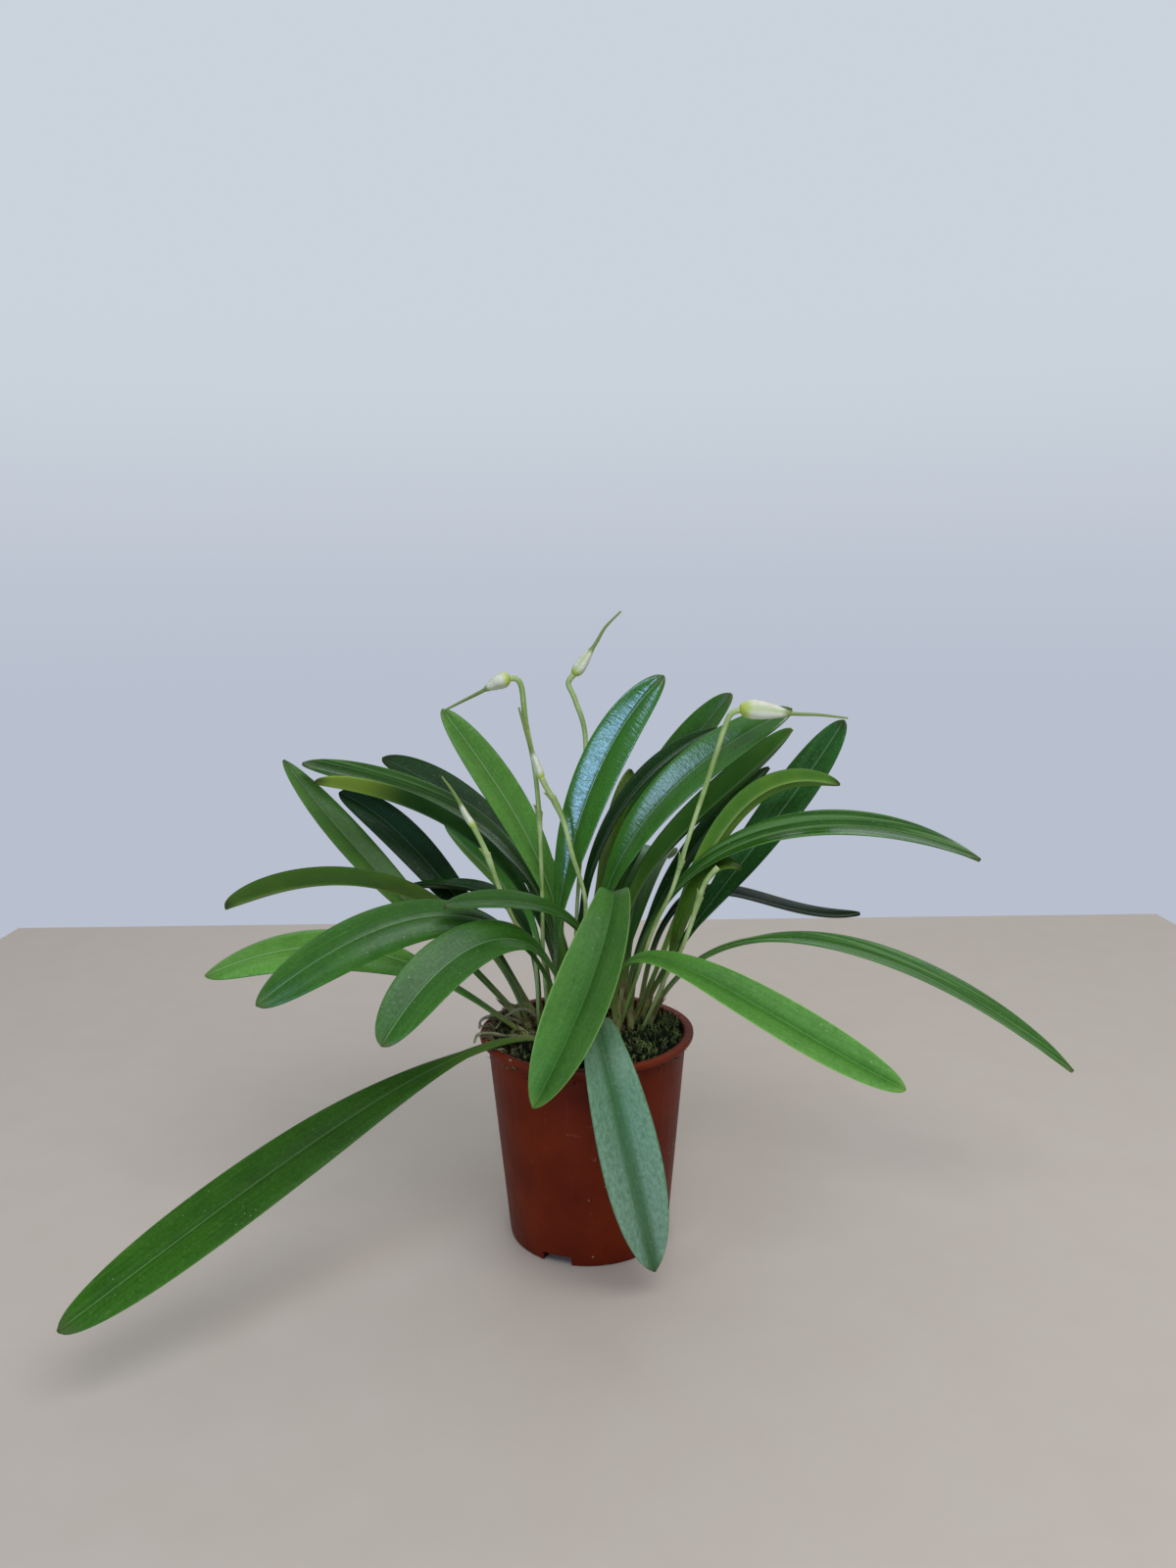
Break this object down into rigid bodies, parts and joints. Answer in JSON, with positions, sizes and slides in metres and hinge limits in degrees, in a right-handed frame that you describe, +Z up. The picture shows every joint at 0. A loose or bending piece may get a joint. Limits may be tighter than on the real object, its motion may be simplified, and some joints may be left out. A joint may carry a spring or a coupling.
{
  "type": "potted masdevallia orchid",
  "caption": "Leafy orchid in a small round plastic pot: long strap leaves arch out on stalks from a mossy filling, with thin flower stems that carry tailed buds.",
  "frame": {"origin": "middle of the pot's base, on the flat underside that it stands on", "axes": "+Z up along the pot's axis; -Y is the front, where two leaves hang over the rim; +X is to the right of someone who looks at the front"},
  "size_m": [0.3849, 0.2191, 0.2639],
  "materials": {
    "leaf_green": "satin",
    "leaf_bright": "satin",
    "leaf_silver": "satin",
    "leaf_pale": "satin",
    "leaf_dark": "satin",
    "leaf_yellow": "satin",
    "stem": "satin",
    "bud": "satin",
    "pot": "satin",
    "potting_mix": "matte",
    "moss": "matte"
  },
  "bodies": {
    "root": {"bud_left": "bud", "bud_right": "bud", "bud_slender": "bud", "bud_top": "bud", "bud_young": "bud", "leaf_back_left": "leaf_dark", "leaf_back_low": "leaf_green", "leaf_back_right": "leaf_green", "leaf_back_wide": "leaf_green", "leaf_bright_edge": "leaf_pale", "leaf_dark_back": "leaf_dark", "leaf_dark_edge": "leaf_dark", "leaf_front_centre": "leaf_bright", "leaf_front_hang": "leaf_silver", "leaf_glossy": "leaf_green", "leaf_hooked": "leaf_yellow", "leaf_left_big": "leaf_green", "leaf_left_curl": "leaf_yellow", "leaf_left_dark": "leaf_dark", "leaf_left_front": "leaf_green", "leaf_left_high": "leaf_pale", "leaf_left_low_back": "leaf_dark", "leaf_left_over": "leaf_green", "leaf_left_pale": "leaf_pale", "leaf_left_striped": "leaf_green", "leaf_left_yellow_tip": "leaf_dark", "leaf_long_left": "leaf_green", "leaf_olive": "leaf_yellow", "leaf_pale_under": "leaf_pale", "leaf_right_arch": "leaf_yellow", "leaf_right_front": "leaf_bright", "leaf_right_high": "leaf_dark", "leaf_right_long": "leaf_green", "leaf_right_low": "leaf_green", "leaf_right_narrow": "leaf_dark", "leaf_tall": "leaf_green", "leaf_up_left": "leaf_pale", "moss": "moss", "pot": "pot", "potting_mix": "potting_mix", "stem_left": "stem", "stem_right": "stem", "stem_slender": "stem", "stem_top": "stem", "stem_young": "stem", "young_shoot": "stem"}
  },
  "joints": []
}
